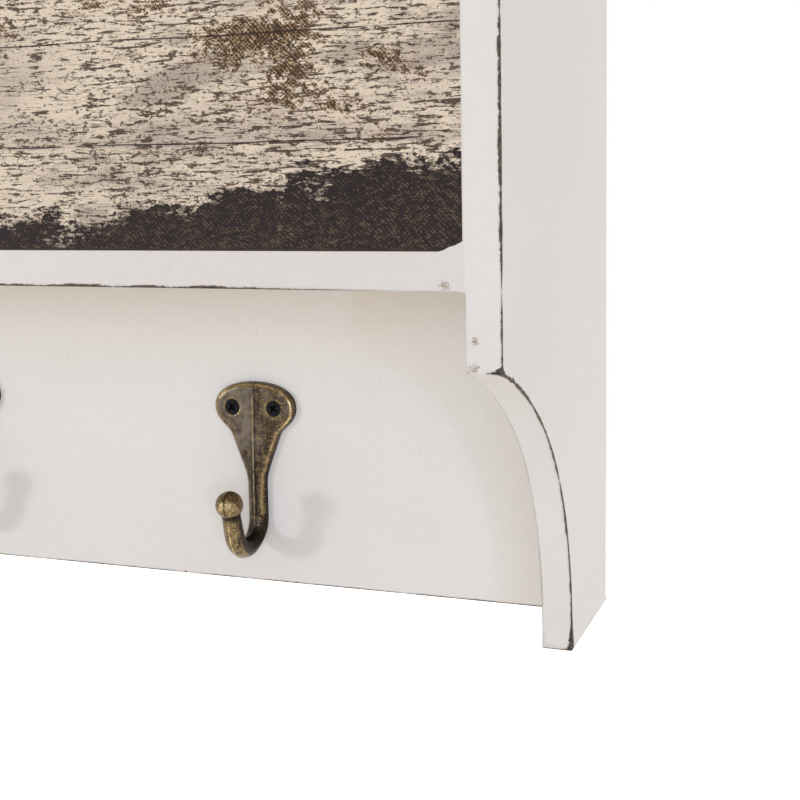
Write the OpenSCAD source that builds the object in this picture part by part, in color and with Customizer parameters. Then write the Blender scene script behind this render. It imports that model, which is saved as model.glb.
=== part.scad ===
// Wall rack with three cast hooks: two coved side boards, a boxed shelf with a printed front
// and a back board that carries the hooks and hangs on two keyhole plates.
// Millimetres. The wall is the plane Y = 0, the front faces -Y and Z is up. The origin is on the
// wall plane at half the height and half the width of the rack.

/* [Rack] */
// Overall width, over both side boards
rack_w = 478; // [440:1:600]
// Overall height, from the feet to the top
rack_h = 300; // [270:1:360]
// Overall depth, from the wall to the front edges
rack_d = 120; // [104:1:135]
// Thickness of the side, bottom and top boards
board_t = 9; // [8:0.5:12]
// Thickness of the back board
back_t = 10; // [9:0.5:14]
// How far the back board's lower edge stands below the feet
back_drop = 1; // [0:0.5:4]
// Height of the bottom board's underside above the feet
shelf_h = 111; // [104:1:130]

/* [Side boards] */
// Depth of a foot at the wall
foot_d = 49; // [44:1:54]
// Height of the straight front of a foot, below the cove
foot_h = 7; // [2:1:10]
// Radius of the cove's lower arc, next to the foot
cove_r = 82; // [78:1:86]
// Radius of the cove's upper arc, next to the front edge
cove_top_r = 122; // [110:1:130]
// Turn of the lower arc, where the upper one takes over, in degrees
cove_turn = 53; // [45:1:60]

/* [Front panel] */
// Thickness of the front panel
panel_t = 6; // [4:0.5:9]
// Thickness of the printed sheet on the panel
print_t = 0.3; // [0.2:0.05:0.6]
// White margin between the printed sheet and the boards round it
print_gap = 0.5; // [0.3:0.1:3]
// Width of the torn lower right corner of the sheet
tear_w = 6; // [3:0.5:15]
// Height of the torn corner
tear_h = 2.4; // [1:0.2:8]
// Section of the square battens behind the panel
batten_t = 12; // [8:1:16]
// Gap between a batten's ends and the side boards
batten_gap = 1; // [0.5:0.5:5]

/* [Dowels] */
// Diameter of a dowel
dowel_d = 5; // [4:0.5:6]
// Depth of the dowel holes in the ends of the boards
dowel_in_board = 18; // [12:1:25]
// Wood left between a dowel hole and the outer face of a side board
dowel_cover = 3; // [2:0.5:4]
// Free space at each end of a dowel, for the glue
dowel_end_gap = 0.5; // [0.2:0.1:1.5]
// Distance of the front dowels from the rack's front
dowel_front_in = 25; // [15:1:35]
// Distance of the rear dowels from the back board
dowel_back_in = 30; // [15:1:35]

/* [Hooks] */
// Distance between the middles of neighbouring hooks
hook_gap = 120; // [100:1:130]
// Height of the hooks' screw line above the feet
hook_screw_h = 60.5; // [52:0.5:70]
// Half width of the hook's plate across its lobes
plate_half_w = 15; // [13:0.2:18]
// Height of the plate above the screw line
plate_top = 8.7; // [8:0.1:14]
// Depth of the round lobes below the screw line
lobe_drop = 9.6; // [8:0.1:10]
// Drop from the screw line to the shoulders, where the taper starts
shoulder_drop = 7.7; // [7:0.1:9]
// Half width at the shoulders
shoulder_half_w = 9.6; // [8.5:0.1:10.5]
// Height of the plate's side wall
edge_t = 0.85; // [0.7:0.05:2]
// Height of the plate at the inner end of the bevel that runs round it
rim_t = 2.9; // [2.2:0.1:3]
// Height of the plate at its middle ridge
ridge_t = 3.4; // [3:0.1:4.5]
// Width of the bevel that runs round the plate
rim_w = 1.6; // [1:0.1:2]
// Drop from the screw line to the top of the stem
stem_drop = 24; // [20:1:27]
// Half width of the stem
stem_half_w = 3.35; // [2.8:0.05:4]
// Thickness of the stem, from the board to its ridge
stem_t = 4.1; // [3.8:0.1:6]
// Thickness of the arm, past the bend
arm_t = 6.4; // [5:0.1:7]
// Thickness of the neck, where the arm meets the ball
neck_t = 5.8; // [4.5:0.1:7]
// Half width of the neck
neck_half_w = 3.1; // [2.4:0.05:3.5]
// Drop from the screw line to the centre of the bend
bend_drop = 38; // [34:1:42]
// Radius of the bend, at the middle of the bar
bend_r = 8.8; // [8:0.1:12]
// Outward lean of the arm from upright, in degrees
arm_lean = 15; // [0:1:20]
// Length of the straight arm, from the bend to the middle of the ball
arm_len = 11.4; // [9:0.1:16]
// Diameter of the ball
ball_d = 9.2; // [8.5:0.1:12]

/* [Screws] */
// Distance between the two screws of a hook
screw_gap = 15.6; // [14:0.1:17]
// Diameter of a screw's head
head_d = 5.5; // [5:0.1:6]
// Height of a screw's conical head
head_h = 1.6; // [1.2:0.1:1.8]
// Diameter of a screw's shank
shank_d = 3; // [2.5:0.1:3.2]
// Length of a hook's screw
hook_screw_len = 11.5; // [9:0.1:11.5]
// Length of a hanging plate's screw
plate_screw_len = 8; // [6:0.1:9]
// Play round the shanks in the metal parts
shank_play = 0.2; // [0.1:0.05:0.3]
// Width of a slot of the cross recess
recess_w = 0.8; // [0.6:0.05:1]
// Depth of the cross recess
recess_d = 1.1; // [0.8:0.1:1.2]

/* [Hanging plates] */
// Distance of the keyholes from the inner faces of the side boards
hang_in = 40; // [30:1:70]
// Distance of the keyholes' round entries below the top of the rack
hang_drop = 42; // [36:1:60]
// Length of a hanging plate
hang_l = 50; // [44:1:60]
// Width of a hanging plate
hang_w = 16; // [14:0.5:20]
// Thickness of a hanging plate
hang_t = 1.5; // [1:0.1:2]
// Play round a hanging plate in its recess
hang_play = 0.2; // [0.1:0.05:0.5]
// Diameter of the round entry for the head of a wall screw
key_d = 9; // [8:0.1:10]
// Width of the slot for the shank of a wall screw
key_slot_w = 4.5; // [4:0.1:5]
// Rise of the slot above the round entry's centre
key_rise = 9; // [7:0.5:11]
// Depth of the pocket behind a keyhole, from the wall plane
pocket_d = 7; // [6:0.1:7.5]
// Distance of a plate screw from the end of its plate
hang_screw_in = 5; // [4.5:0.1:6]

/* [Hidden] */
$fn = 64;
eps = 0.01;
foot_z = -rack_h / 2;
inner_w = rack_w - 2 * board_t;
shelf_top_h = shelf_h + board_t;
under_top_h = rack_h - board_t;
dowel_in_side = board_t - dowel_cover;
dowel_l = dowel_in_side + dowel_in_board - 2 * dowel_end_gap;
hook_z = foot_z + hook_screw_h;
hang_x = inner_w / 2 - hang_in;
hang_z = rack_h / 2 - hang_drop;
hang_screw_z = hang_l / 2 - hang_screw_in;
key_z = -key_rise / 2;
white = "#e6e1da";
raw_wood = "#c9ab7c";
antique_brass = "#6b5838";
black_steel = "#26241f";
zinc = "#a9abad";

// Depth and height of every dowel above the feet, the same on both side boards
dowels = [
    [back_t + dowel_back_in, shelf_h + board_t / 2],
    [rack_d - dowel_front_in, shelf_h + board_t / 2],
    [back_t + dowel_back_in, rack_h - board_t / 2],
    [rack_d - dowel_front_in, rack_h - board_t / 2],
    [back_t / 2, shelf_h / 2],
    [back_t / 2, (shelf_top_h + under_top_h) / 2]
];

// Boards
module board(width, depth, height, from_wall, from_feet)
    translate([-width / 2, -from_wall - depth, foot_z + from_feet])
        cube([width, depth, height]);

// The space in front of the cove, drawn as depth from the wall and height above the feet
module cove_space() {
    low = [foot_d + cove_r, foot_h];
    spread = cove_top_r - cove_r;
    high = low + spread * [cos(cove_turn), -sin(cove_turn)];
    translate(low)
        circle(cove_r, $fn = 128);
    intersection() {
        translate(high)
            circle(cove_top_r, $fn = 128);
        translate(low)
            rotate(180 - cove_turn)
                translate([-3 * cove_top_r, -3 * cove_top_r])
                    square([6 * cove_top_r, 3 * cove_top_r]);
    }
    translate([foot_d, -foot_h])
        square([rack_d, 2 * foot_h]);
}

module side_profile()
    difference() {
        square([rack_d, rack_h]);
        cove_space();
    }

module dowel_holes(side)
    for (at = dowels)
        translate([side * inner_w / 2, -at[0], foot_z + at[1]])
            rotate([0, side * 90, 0])
                translate([0, 0, -dowel_in_board])
                    cylinder(d = dowel_d, h = dowel_in_board + dowel_in_side);

module side_board(side)
    color(white)
        difference() {
            translate([side * (rack_w - board_t) / 2 - board_t / 2, 0, foot_z])
                mirror([0, 1, 0])
                    rotate([90, 0, 90])
                        linear_extrude(board_t)
                            side_profile();
            dowel_holes(side);
        }

module bottom_board()
    color(white)
        difference() {
            board(inner_w, rack_d - back_t, board_t, back_t, shelf_h);
            dowel_holes(-1);
            dowel_holes(1);
        }

module top_board()
    color(white)
        difference() {
            board(inner_w, rack_d, board_t, 0, under_top_h);
            dowel_holes(-1);
            dowel_holes(1);
        }

module back_board()
    color(white)
        difference() {
            board(inner_w, back_t, under_top_h + back_drop, 0, -back_drop);
            dowel_holes(-1);
            dowel_holes(1);
            for (place = [-1, 0, 1])
                at_hook(place)
                    screw_holes(shank_d);
            for (side = [-1, 1])
                at_hanger(side)
                    hanger_recess();
        }

module dowel_set(side)
    color(raw_wood)
        for (at = dowels)
            translate([side * inner_w / 2, -at[0], foot_z + at[1]])
                rotate([0, side * 90, 0])
                    translate([0, 0, dowel_end_gap - dowel_in_board])
                        cylinder(d = dowel_d, h = dowel_l);

// Front panel
module front_panel()
    color(white)
        board(inner_w, panel_t, under_top_h - shelf_top_h, rack_d - print_t - panel_t, shelf_top_h);

module print_outline() {
    w = inner_w - 2 * print_gap;
    h = under_top_h - shelf_top_h - 2 * print_gap;
    polygon([
        [0, 0], [w - tear_w, 0], [w - tear_w * 0.8, tear_h * 0.12], [w - tear_w * 0.55, tear_h * 0.45],
        [w - tear_w * 0.3, tear_h * 0.62], [w, tear_h], [w, h], [0, h]
    ]);
}

module print_sheet()
    color("#a8967a")
        translate([print_gap - inner_w / 2, print_t - rack_d, foot_z + shelf_top_h + print_gap])
            rotate([90, 0, 0])
                linear_extrude(print_t)
                    print_outline();

module panel_batten(from_feet)
    color(raw_wood)
        board(inner_w - 2 * batten_gap, batten_t, batten_t, rack_d - print_t - panel_t - batten_t, from_feet);

// Hooks. Each hook is one lofted casting: rings of points follow it from the top of its plate
// down the stem, round the bend and up the arm. Places are [across, out from the board, height],
// and heights count from the screw line.
crown_rings = [0.005, 0.035, 0.1, 0.18, 0.3, 0.46, 0.64, 0.82];
lobe_rings = [0, 0.25, 0.45, 0.62, 0.76, 0.88];
taper_rings = 8;
bend_rings = 12;
bevel_steps = [0, 0.3, 0.65, 1];
face_steps = 3;
// Exponent of the rounded outline over the lobes, which is near an ellipse
crown_power = 2.2;
// Exponent of the soft maximum that joins lobes, taper and stem
join_power = 8;
// Angle between the plane across the arm and its first point
arm_from = 10;
// Turn in the bend over which the flat-backed stem becomes the round arm
round_turn = 80;
arm_turn = 180 - arm_lean;
bend_at = [stem_t / 2 + bend_r, -bend_drop];
arm_way = [sin(arm_turn), -cos(arm_turn)];
ball_at = bend_at - bend_r * [cos(arm_turn), sin(arm_turn)] + arm_len * arm_way;
screw_seat = rim_t + 0.3;

function mix(a, b, t) = a * (1 - t) + b * t;
function ease(t) = let (c = max(0, min(1, t))) c * c * (3 - 2 * c);
function soft_max(values) = pow([for (v = values) pow(v, join_power)] * [for (v = values) 1], 1 / join_power);
function ellipse_w(t, power) = pow(max(0, 1 - pow(t, power)), 1 / power);

// Half width of the casting at a drop below the screw line, which is negative above it
function half_w(drop) = drop < 0
    ? plate_half_w * ellipse_w(-drop / plate_top, crown_power)
    : soft_max([
        plate_half_w * ellipse_w(min(1, drop / lobe_drop), 2),
        max(0, mix(shoulder_half_w, stem_half_w, max(0, drop - shoulder_drop) / (stem_drop - shoulder_drop))),
        stem_half_w * min(1, drop / shoulder_drop)
    ]);

// Distance of a point of the plate from the plate's outline
function inset(x, drop) = drop < 0
    ? let (
        a = x / plate_half_w,
        b = -drop / plate_top,
        r = max(0.01, pow(pow(a, crown_power) + pow(b, crown_power), 1 / crown_power)),
        k = crown_power - 1
    ) (1 - r) / norm([pow(a / r, k) / plate_half_w, pow(b / r, k) / plate_top])
    : half_w(drop) - x;

// Height of the front face: a round bevel, then facets that rise to the ridge in the middle
function face_t(x, drop) =
    let (
        t = max(0, min(1, inset(x, drop) / rim_w)),
        ridge = mix(ridge_t, stem_t, ease(drop / stem_drop)),
        w = max(rim_w, half_w(max(0, drop)))
    ) edge_t + (rim_t - edge_t) * sqrt(1 - pow(1 - t, 2)) + (ridge - rim_t) * t * (1 - x / w);

// Places across half of a ring, from the edge to the middle
function across(w) = let (b = min(rim_w, w / 2)) concat(
    [for (t = bevel_steps) w - b * t],
    [for (i = [1 : face_steps]) (w - b) * (1 - i / face_steps)]
);
half_count = len(bevel_steps) + face_steps;

// Front and back lines of half a ring, as [across, up from the back], for the plate and the arm
function plate_front(drop) = [for (x = across(half_w(drop))) [x, face_t(x, drop)]];
function plate_back(drop) = [for (x = across(half_w(drop))) [x, 0]];
function arm_line(half, thick, up) = [
    for (i = [0 : half_count - 1])
        let (turn = mix(arm_from, 90, i / (half_count - 1)))
            [half * cos(turn), thick / 2 * (1 + up * sin(turn))]
];

// A closed ring from its two half lines: across the front to the right and back along the back
function ring(front, back) = concat(
    [for (p = front) [-p[0], p[1]]],
    [for (i = [half_count - 2 : -1 : 0]) front[i]],
    back,
    [for (i = [half_count - 2 : -1 : 0]) [-back[i][0], back[i][1]]]
);
function placed(ring, at, up) = [for (p = ring) [p[0], -at[0] - p[1] * up[0], at[1] + p[1] * up[1]]];

function straight_ring(drop) = placed(ring(plate_front(drop), plate_back(drop)), [0, -drop], [1, 0]);
function bar_ring(turn, along) =
    let (
        round = ease(turn / round_turn),
        thick = mix(mix(stem_t, arm_t, round), neck_t, along / arm_len),
        half = mix(stem_half_w, neck_half_w, along / arm_len),
        inward = [cos(turn), sin(turn)],
        front = mix(plate_front(bend_drop), arm_line(half, thick, 1), round),
        back = mix(plate_back(bend_drop), arm_line(half, thick, -1), round)
    ) placed(ring(front, back), bend_at - (bend_r + thick / 2) * inward + along * arm_way, inward);

rings = concat(
    [for (t = crown_rings) straight_ring(-plate_top * (1 - t))],
    [for (t = lobe_rings) straight_ring(lobe_drop * t)],
    [for (i = [0 : taper_rings]) straight_ring(mix(lobe_drop, stem_drop + 2, i / taper_rings))],
    [for (i = [0 : bend_rings]) bar_ring(arm_turn * i / bend_rings, 0)],
    [bar_ring(arm_turn, arm_len - ball_d / 4)]
);
ring_count = 4 * half_count - 2;
last_ring = (len(rings) - 1) * ring_count;

// The end rings' faces start at the front's middle, as the points along the back are in one line
module casting()
    polyhedron(
        points = [for (r = rings) each r],
        faces = concat(
            [[for (j = [0 : ring_count - 1]) (half_count - 1 + ring_count - j) % ring_count]],
            [[for (j = [0 : ring_count - 1]) last_ring + (half_count - 1 + j) % ring_count]],
            [
                for (i = [0 : len(rings) - 2])
                    for (j = [0 : ring_count - 1])
                        let (
                            a = i * ring_count + j,
                            b = i * ring_count + (j + 1) % ring_count
                        )
                            each [[a, b, a + ring_count], [b, b + ring_count, a + ring_count]]
            ]
        )
    );

module at_hook(place)
    translate([place * hook_gap, -back_t, hook_z])
        children();

// Shank holes of a hook's two screws, from the tips up to past the plate
module screw_holes(d)
    for (side = [-1, 1])
        translate([side * screw_gap / 2, hook_screw_len - screw_seat, 0])
            rotate([90, 0, 0])
                cylinder(d = d, h = hook_screw_len + ridge_t);

module hook(place)
    color(antique_brass)
        at_hook(place)
            difference() {
                union() {
                    casting();
                    translate([0, -ball_at[0], ball_at[1]])
                        sphere(d = ball_d);
                }
                screw_holes(shank_d + 2 * shank_play);
                for (side = [-1, 1])
                    translate([side * screw_gap / 2, -screw_seat, 0])
                        head_seat();
            }

// Screws point along +Y, with the top of the head at the origin
module head_cone()
    rotate([-90, 0, 0])
        cylinder(d1 = head_d, d2 = shank_d, h = head_h);

module head_seat()
    union() {
        head_cone();
        rotate([90, 0, 0])
            translate([0, 0, -eps])
                cylinder(d = head_d, h = ridge_t);
    }

module screw(length)
    difference() {
        union() {
            head_cone();
            rotate([-90, 0, 0])
                cylinder(d = shank_d, h = length);
        }
        for (turn = [0, 90])
            rotate([0, turn, 0])
                translate([-recess_w / 2, -eps, -head_d * 0.3])
                    cube([recess_w, recess_d, head_d * 0.6]);
    }

module hook_screws(place)
    color(black_steel)
        at_hook(place)
            for (side = [-1, 1])
                translate([side * screw_gap / 2, -screw_seat, 0])
                    screw(hook_screw_len);

// Hanging plates, let into the back of the back board, with the keyhole's round entry below
module at_hanger(side)
    translate([side * hang_x, 0, hang_z])
        children();

// A slot with round ends, standing up on the wall plane and cut into the board
module slot(width, from_z, to_z, depth)
    rotate([90, 0, 0])
        linear_extrude(depth) {
            translate([0, from_z])
                circle(d = width);
            translate([0, to_z])
                circle(d = width);
            translate([-width / 2, from_z])
                square([width, to_z - from_z]);
        }

module hanger_recess() {
    end = (hang_l - hang_w) / 2;
    translate([0, eps, 0])
        slot(hang_w + 2 * hang_play, -end, end, hang_t + eps);
    translate([0, eps, 0])
        slot(key_d + 1, key_z, key_z + key_rise, pocket_d + eps);
    for (up = [-1, 1])
        translate([0, 0, up * hang_screw_z])
            rotate([90, 0, 0])
                cylinder(d = shank_d, h = plate_screw_len);
}

module plate_hole(z, d)
    translate([0, eps, z])
        rotate([90, 0, 0])
            cylinder(d = d, h = hang_t + 2 * eps);

module hanging_plate(side)
    color(zinc)
        at_hanger(side)
            difference() {
                slot(hang_w, -(hang_l - hang_w) / 2, (hang_l - hang_w) / 2, hang_t);
                translate([0, eps, 0])
                    slot(key_slot_w, key_z, key_z + key_rise, hang_t + 2 * eps);
                plate_hole(key_z, key_d);
                for (up = [-1, 1])
                    plate_hole(up * hang_screw_z, shank_d + 2 * shank_play);
            }

module plate_screws(side)
    color(zinc)
        at_hanger(side)
            for (up = [-1, 1])
                translate([0, 0, up * hang_screw_z])
                    rotate([180, 0, 0])
                        screw(plate_screw_len);

side_board(-1);  // side_board_left
side_board(1);  // side_board_right
bottom_board();
top_board();
back_board();
front_panel();
print_sheet();
panel_batten(shelf_top_h);  // panel_batten_bottom
panel_batten(under_top_h - batten_t);  // panel_batten_top
dowel_set(-1);  // dowels_left
dowel_set(1);  // dowels_right
hook(-1);  // hook_left
hook(0);  // hook_middle
hook(1);  // hook_right
hook_screws(-1);  // hook_screws_left
hook_screws(0);  // hook_screws_middle
hook_screws(1);  // hook_screws_right
hanging_plate(-1);  // hanging_plate_left
hanging_plate(1);  // hanging_plate_right
plate_screws(-1);  // plate_screws_left
plate_screws(1);  // plate_screws_right
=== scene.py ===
"""White-painted wall rack with cast hooks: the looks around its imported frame.

The wall is the plane Y = 0, the front faces -Y and Z is up. Sizes here are in millimetres, and
every mesh is made in metres, in place, with its object at the origin.
"""

import math

import bmesh
import bpy
import numpy as np
from mathutils import Matrix, Vector
from mathutils.kdtree import KDTree


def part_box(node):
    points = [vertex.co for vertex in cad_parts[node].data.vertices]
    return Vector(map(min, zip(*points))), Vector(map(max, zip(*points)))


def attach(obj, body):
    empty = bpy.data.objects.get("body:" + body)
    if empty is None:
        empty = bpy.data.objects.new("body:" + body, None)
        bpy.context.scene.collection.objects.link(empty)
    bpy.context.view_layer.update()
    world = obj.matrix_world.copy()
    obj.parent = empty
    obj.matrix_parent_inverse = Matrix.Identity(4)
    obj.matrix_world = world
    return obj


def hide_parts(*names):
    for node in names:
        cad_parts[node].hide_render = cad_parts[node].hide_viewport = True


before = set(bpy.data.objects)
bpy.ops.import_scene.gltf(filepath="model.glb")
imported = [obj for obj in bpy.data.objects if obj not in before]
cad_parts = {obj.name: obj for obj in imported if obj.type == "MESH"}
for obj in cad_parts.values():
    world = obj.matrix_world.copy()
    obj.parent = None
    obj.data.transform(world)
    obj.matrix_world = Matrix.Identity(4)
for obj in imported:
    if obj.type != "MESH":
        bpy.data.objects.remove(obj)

MM = 0.001
MERGE_DISTANCE = 1e-7
scene = bpy.context.scene
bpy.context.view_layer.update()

# The rack's main places: the side boards' faces, the front, the top, the feet, the underside of
# the rail, the top of the cove and the foot of the printed sheet
OUTER_X = 239.0
INNER_X = 230.0
FACE_Y = -120.0
TOP_Z = 150.0
FOOT_Z = -150.0
RAIL_Z = -39.0
COVE_TOP_Z = -58.1
SHEET_FOOT = -29.5
FOOT_DEPTH = 49.0
HOOK_GAP = 120.0


def box_mm(node):
    low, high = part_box(node)
    return low / MM, high / MM


def mix(a, b, t):
    return a * (1 - t) + b * t


def ease(t):
    t = max(0.0, min(1.0, t))
    return t * t * (3 - 2 * t)


def bell(x, width):
    """1 at nought, falling off smoothly on both sides."""
    return math.exp(-((x / width) ** 2))


# Camera: the photograph's viewpoint, worked out from the straight edges of the boards
FRAME_PX = 800
FOCAL_PX = 1334.9
SENSOR_MM = 36.0
AXIS_ABOVE_CENTRE_PX = 60
CAMERA_AT = Vector((323.4, -416.5, -11.2))
CAMERA_AZIMUTH = math.radians(20.317)
CAMERA_PITCH = math.radians(7.104)
CAMERA_ROLL = math.radians(-1.0235)


def make_camera():
    sin_a, cos_a = math.sin(CAMERA_AZIMUTH), math.cos(CAMERA_AZIMUTH)
    sin_e, cos_e = math.sin(CAMERA_PITCH), math.cos(CAMERA_PITCH)
    forward = Vector((-sin_a * cos_e, cos_a * cos_e, -sin_e))
    level = Vector((cos_a, sin_a, 0))
    upright = level.cross(forward)
    right = level * math.cos(CAMERA_ROLL) + upright * math.sin(CAMERA_ROLL)
    up = upright * math.cos(CAMERA_ROLL) - level * math.sin(CAMERA_ROLL)
    data = bpy.data.cameras.new("camera")
    data.sensor_width = SENSOR_MM
    data.lens = FOCAL_PX / FRAME_PX * SENSOR_MM
    data.shift_y = -AXIS_ABOVE_CENTRE_PX / FRAME_PX
    data.clip_start = 0.01
    camera = bpy.data.objects.new("camera", data)
    turn = Matrix((right, up, -forward)).transposed()
    camera.matrix_world = Matrix.Translation(CAMERA_AT * MM) @ turn.to_4x4()
    scene.collection.objects.link(camera)
    scene.camera = camera


# Node trees
class Number:
    """A number that a node gives, for sums and products with other numbers."""

    def __init__(self, nodes, socket):
        self.nodes = nodes
        self.socket = socket

    def __add__(self, other):
        return self.nodes.math("ADD", self, other)

    def __sub__(self, other):
        return self.nodes.math("SUBTRACT", self, other)

    def __rsub__(self, other):
        return self.nodes.math("SUBTRACT", other, self)

    def __mul__(self, other):
        return self.nodes.math("MULTIPLY", self, other)

    def __truediv__(self, other):
        return self.nodes.math("DIVIDE", self, other)

    def __pow__(self, other):
        return self.nodes.math("POWER", self, other)

    def __abs__(self):
        return self.nodes.math("ABSOLUTE", self)

    __radd__ = __add__
    __rmul__ = __mul__


class Nodes:
    """A node tree, emptied, with short ways to add nodes and fill their inputs."""

    def __init__(self, tree):
        self.tree = tree
        tree.nodes.clear()

    def add(self, kind, *values, **settings):
        node = self.tree.nodes.new(kind)
        for name, value in settings.items():
            setattr(node, name, value)
        for socket, value in zip(node.inputs, values):
            self.set(socket, value)
        return node

    def set(self, socket, value):
        if isinstance(value, Number):
            value = value.socket
        if isinstance(value, bpy.types.NodeSocket):
            self.tree.links.new(value, socket)
        else:
            socket.default_value = value

    def math(self, operation, *values):
        return Number(self, self.add("ShaderNodeMath", *values, operation=operation).outputs[0])

    def most(self, a, b):
        return self.math("MAXIMUM", a, b)

    def seen_directly(self):
        """1 on camera, glossy and transmission rays, and 0 on all others."""
        path = self.add("ShaderNodeLightPath").outputs
        glossy = self.most(path["Is Camera Ray"], path["Is Glossy Ray"])
        return self.most(glossy, path["Is Transmission Ray"])


class Finish(Nodes):
    """A material. Patterns are on Object coordinates, in millimetres."""

    def __init__(self, name):
        self.material = bpy.data.materials.new(name)
        self.material.use_nodes = True
        super().__init__(self.material.node_tree)
        self.shader = self.add("ShaderNodeBsdfPrincipled")
        self.add("ShaderNodeOutputMaterial", self.shader.outputs[0])
        coordinates = self.add("ShaderNodeTexCoord")
        scaled = self.add("ShaderNodeVectorMath", coordinates.outputs["Object"], operation="SCALE")
        scaled.inputs["Scale"].default_value = 1 / MM
        self.place = scaled.outputs[0]
        parts = self.add("ShaderNodeSeparateXYZ", self.place).outputs
        self.x, self.y, self.z = [Number(self, part) for part in parts]

    def ramp(self, value, start, end):
        """0 at start and 1 at end, smooth between them. Start may lie above end."""
        node = self.add("ShaderNodeMapRange", value, start, end, 0.0, 1.0, interpolation_type="SMOOTHSTEP")
        return Number(self, node.outputs[0])

    def stretched(self, size, shift=(0, 0, 0)):
        """The place, counted in cells of the given size in millimetres along X, Y and Z."""
        size = (size, size, size) if isinstance(size, (int, float)) else size
        return self.add("ShaderNodeMapping", self.place, shift, (0, 0, 0), [1 / s for s in size]).outputs[0]

    def noise(self, size, detail=2.0, roughness=0.5, shift=(0, 0, 0), warp=0.0):
        node = self.add("ShaderNodeTexNoise")
        given = {"Vector": self.stretched(size, shift), "Scale": 1.0, "Detail": detail}
        given.update({"Roughness": roughness, "Distortion": warp})
        for name, value in given.items():
            self.set(node.inputs[name], value)
        return Number(self, node.outputs[0])

    def specks(self, size, shift=(0, 0, 0)):
        """Distance to the nearest of scattered points, in cells, and that cell's random number."""
        node = self.add("ShaderNodeTexVoronoi")
        self.set(node.inputs["Vector"], self.stretched(size, shift))
        node.inputs["Scale"].default_value = 1.0
        random = self.add("ShaderNodeSeparateColor", node.outputs["Color"]).outputs[0]
        return Number(self, node.outputs["Distance"]), Number(self, random)

    def near(self, centre):
        """Distance from a point, in millimetres."""
        node = self.add("ShaderNodeVectorMath", self.place, centre, operation="DISTANCE")
        return Number(self, node.outputs["Value"])

    def attribute(self, name):
        return Number(self, self.add("ShaderNodeAttribute", attribute_name=name).outputs["Fac"])

    def blend(self, share, a, b):
        node = self.add("ShaderNodeMix", data_type="RGBA")
        for socket, value in ((node.inputs[0], share), (node.inputs[6], a), (node.inputs[7], b)):
            self.set(socket, (*value, 1) if isinstance(value, tuple) else value)
        return node.outputs[2]

    def darker(self, colour, factor):
        """The colour times a number."""
        node = self.add("ShaderNodeVectorMath", colour, operation="SCALE")
        self.set(node.inputs["Scale"], factor)
        return node.outputs[0]

    def finish(self, colour, roughness, height, **numbers):
        """The material, with its colour, its roughness and its bumps in millimetres."""
        bump = self.add("ShaderNodeBump")
        bump.inputs["Distance"].default_value = MM
        self.set(bump.inputs["Height"], height)
        given = {"Base Color": colour, "Roughness": roughness, "Normal": bump.outputs[0]}
        given.update({name.replace("_", " "): number for name, number in numbers.items()})
        for name, value in given.items():
            self.set(self.shader.inputs[name], value)
        return self.material


# Scuffs on the fronts, down to brown: place and reach
SCUFFS = [((225.0, FACE_Y, -37.4), 2.4), ((232.2, FACE_Y, -50.6), 1.9), ((232.0, FACE_Y, -56.8), 2.4)]
SCUFFS += [((230.3, FACE_Y, -57.6), 1.6), ((-233.0, FACE_Y, 20.0), 2.2), ((-96.0, FACE_Y, -36.5), 2.0)]
# Knocked corners, mirrored loosely on the left: place and reach along X, Y and Z
KNOCKS = [
    ((OUTER_X, FACE_Y, COVE_TOP_Z), (3.4, 2.2, 2.6)),
    ((OUTER_X, -111.2, -61.2), (1.5, 1.9, 1.7)),
    ((OUTER_X, -FOOT_DEPTH, FOOT_Z), (1.7, 3.2, 12.5)),
    ((OUTER_X, 0, FOOT_Z), (0.6, 2.6, 2.0)),
    ((OUTER_X, FACE_Y, TOP_Z), (1.8, 2.0, 2.2)),
    ((-OUTER_X, FACE_Y, COVE_TOP_Z), (2.6, 2.4, 3.4)),
    ((-OUTER_X, -FOOT_DEPTH, FOOT_Z), (1.6, 2.6, 5.5)),
    ((-OUTER_X, FACE_Y, TOP_Z), (2.4, 2.6, 1.8)),
    ((90.0, -10, FOOT_Z - 1), (1.0, 0.6, 0.9)),
]

PAINT = (0.872, 0.844, 0.814)
PAINT_WARM = (0.852, 0.815, 0.775)
PAINT_SHADE_UNDER_RAIL = (0.848, 0.792, 0.708)
PAINT_LIT_EDGE = (0.918, 0.900, 0.868)
BARE_DARK = (0.030, 0.021, 0.015)
BARE_BROWN = (0.150, 0.108, 0.075)
SCUFF_WOOD = (0.420, 0.255, 0.105)
SCUFF_DARK = (0.120, 0.068, 0.028)


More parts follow.
